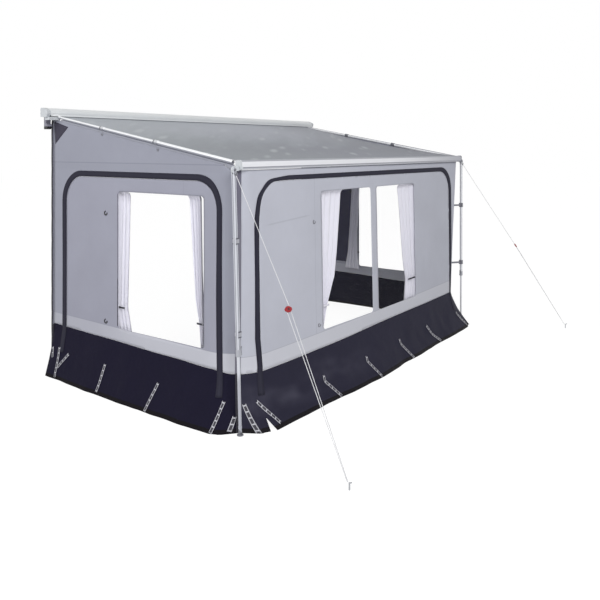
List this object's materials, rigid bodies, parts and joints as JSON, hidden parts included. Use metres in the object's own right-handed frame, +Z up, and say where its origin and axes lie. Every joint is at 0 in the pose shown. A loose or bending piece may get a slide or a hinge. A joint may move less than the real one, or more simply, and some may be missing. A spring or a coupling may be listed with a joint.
{
  "type": "roll-out caravan awning with zip-in room",
  "caption": "Wall-mounted roll-out awning with a zip-in front room: housing, telescopic rafters and legs, sloping roof sheet, walls with windows, mud skirts and guy lines.",
  "frame": {"origin": "on the ground, in the middle of the room's outline, without the guy lines", "axes": "+X along the lead rail, to the right seen from the front; +Y towards the vehicle; +Z up"},
  "size_m": [5.1005, 3.7102, 2.645],
  "materials": {
    "white_aluminium": "white powder coat",
    "anodised_aluminium": "satin anodised",
    "grey_plastic": "moulded, grey",
    "pale_plastic": "moulded, pale grey",
    "wall_fabric": "coated polyester, mid grey",
    "skirt_fabric": "coated fabric, anthracite",
    "band_fabric": "woven strip, dark grey",
    "roof_fabric": "coated sheet, grey",
    "window_film": "clear film",
    "curtain_cloth": "thin cloth, pale",
    "cord_white": "braided cord, white",
    "runner_red": "moulded, red",
    "peg_steel": "galvanised"
  },
  "bodies": {
    "frame": {"front_skirt": "skirt_fabric", "front_wall": "wall_fabric", "front_zip_flap": "band_fabric", "lead_rail": "anodised_aluminium", "left_guy_line": "cord_white", "left_guy_peg": "peg_steel", "left_guy_return": "cord_white", "left_housing_cap": "pale_plastic", "left_lower_leg_clip": "grey_plastic", "left_rafter_front_tube": "anodised_aluminium", "left_rafter_middle_tube": "anodised_aluminium", "left_rafter_rear_tube": "anodised_aluminium", "left_rail_cap": "pale_plastic", "left_rear_pad": "band_fabric", "left_side_wall": "wall_fabric", "left_skirt": "skirt_fabric", "left_upper_leg_clip": "grey_plastic", "left_wall_bracket": "grey_plastic", "left_zip_flap": "band_fabric", "right_guy_line": "cord_white", "right_guy_peg": "peg_steel", "right_guy_return": "cord_white", "right_housing_cap": "pale_plastic", "right_lower_leg_clip": "grey_plastic", "right_rafter_front_tube": "anodised_aluminium", "right_rafter_middle_tube": "anodised_aluminium", "right_rafter_rear_tube": "anodised_aluminium", "right_rail_cap": "pale_plastic", "right_rear_pad": "band_fabric", "right_side_wall": "wall_fabric", "right_skirt": "skirt_fabric", "right_upper_leg_clip": "grey_plastic", "right_wall_bracket": "grey_plastic", "right_zip_flap": "band_fabric", "roof_housing": "white_aluminium", "roof_roller": "roof_fabric", "roof_sheet": "roof_fabric"},
    "left_upper_leg": {"left_leg_upper_tube": "anodised_aluminium"},
    "left_lower_leg": {"left_leg_lower_tube": "anodised_aluminium"},
    "left_lever": {"left_clamp_lever": "grey_plastic"},
    "left_foot_plate": {"left_foot": "grey_plastic"},
    "right_upper_leg": {"right_leg_upper_tube": "anodised_aluminium"},
    "right_lower_leg": {"right_leg_lower_tube": "anodised_aluminium"},
    "right_lever": {"right_clamp_lever": "grey_plastic"},
    "right_foot_plate": {"right_foot": "grey_plastic"},
    "left_flap": {"left_panel": "wall_fabric", "left_window_pane": "window_film", "left_rear_curtain": "curtain_cloth", "left_front_curtain": "curtain_cloth"},
    "right_flap": {"right_panel": "wall_fabric", "right_window_pane": "window_film", "right_rear_curtain": "curtain_cloth", "right_front_curtain": "curtain_cloth", "right_fly_screen": "band_fabric"},
    "front_flap": {"front_panel": "wall_fabric", "front_window_pane": "window_film", "front_left_curtain": "curtain_cloth", "front_right_curtain": "curtain_cloth"},
    "left_runner": {"left_guy_runner": "runner_red"},
    "right_runner": {"right_guy_runner": "runner_red"}
  },
  "joints": [
    {"name": "left_leg_swing", "type": "hinge", "parent": "frame", "child": "left_upper_leg", "pos_m": [-2.165, -1.13, 2.077], "axis": [0.0003, 0.9999, -0.0166], "range_deg": [0, 25]},
    {"name": "left_leg_telescope", "type": "slide", "parent": "left_upper_leg", "child": "left_lower_leg", "axis": [0.0186, -0.0166, -0.9997], "range_m": [-0.45, 0.25]},
    {"name": "left_lever_swing", "type": "hinge", "parent": "left_upper_leg", "child": "left_lever", "pos_m": [-2.10814, -1.15404, 0.63037], "axis": [0.0003, 0.9999, -0.0166], "range_deg": [0, 100]},
    {"name": "left_foot_tilt", "type": "hinge", "parent": "left_lower_leg", "child": "left_foot_plate", "pos_m": [-2.127, -1.164, 0.03], "axis": [1, 0, 0], "range_deg": [-20, 20]},
    {"name": "right_leg_swing", "type": "hinge", "parent": "frame", "child": "right_upper_leg", "pos_m": [2.165, -1.13, 2.077], "axis": [0, -1, 0], "range_deg": [0, 25]},
    {"name": "right_leg_telescope", "type": "slide", "parent": "right_upper_leg", "child": "right_lower_leg", "axis": [-0.0039, 0, -1], "range_m": [-0.45, 0.25]},
    {"name": "right_lever_swing", "type": "hinge", "parent": "right_upper_leg", "child": "right_lever", "pos_m": [2.12934, -1.13, 0.63011], "axis": [0, -1, 0], "range_deg": [0, 100]},
    {"name": "right_foot_tilt", "type": "hinge", "parent": "right_lower_leg", "child": "right_foot_plate", "pos_m": [2.157, -1.13, 0.03], "axis": [1, 0, 0], "range_deg": [-20, 20]},
    {"name": "left_panel_fold", "type": "hinge", "parent": "frame", "child": "left_flap", "pos_m": [-2.105, 0.115, 0.46], "axis": [0, -1, 0], "range_deg": [0, 100]},
    {"name": "right_panel_fold", "type": "hinge", "parent": "frame", "child": "right_flap", "pos_m": [2.105, 0.115, 0.46], "axis": [0, 1, 0], "range_deg": [0, 100]},
    {"name": "front_panel_fold", "type": "hinge", "parent": "frame", "child": "front_flap", "pos_m": [0, -1.172, 0.46], "axis": [1, 0, 0], "range_deg": [0, 100]},
    {"name": "left_runner_slide", "type": "slide", "parent": "frame", "child": "left_runner", "axis": [-0.1036, -0.4813, -0.8704], "range_m": [0, 0.4], "deforming": ["left_guy_return"]},
    {"name": "right_runner_slide", "type": "slide", "parent": "frame", "child": "right_runner", "axis": [0.2566, -0.4516, -0.8545], "range_m": [0, 0.4], "deforming": ["right_guy_return"]}
  ]
}
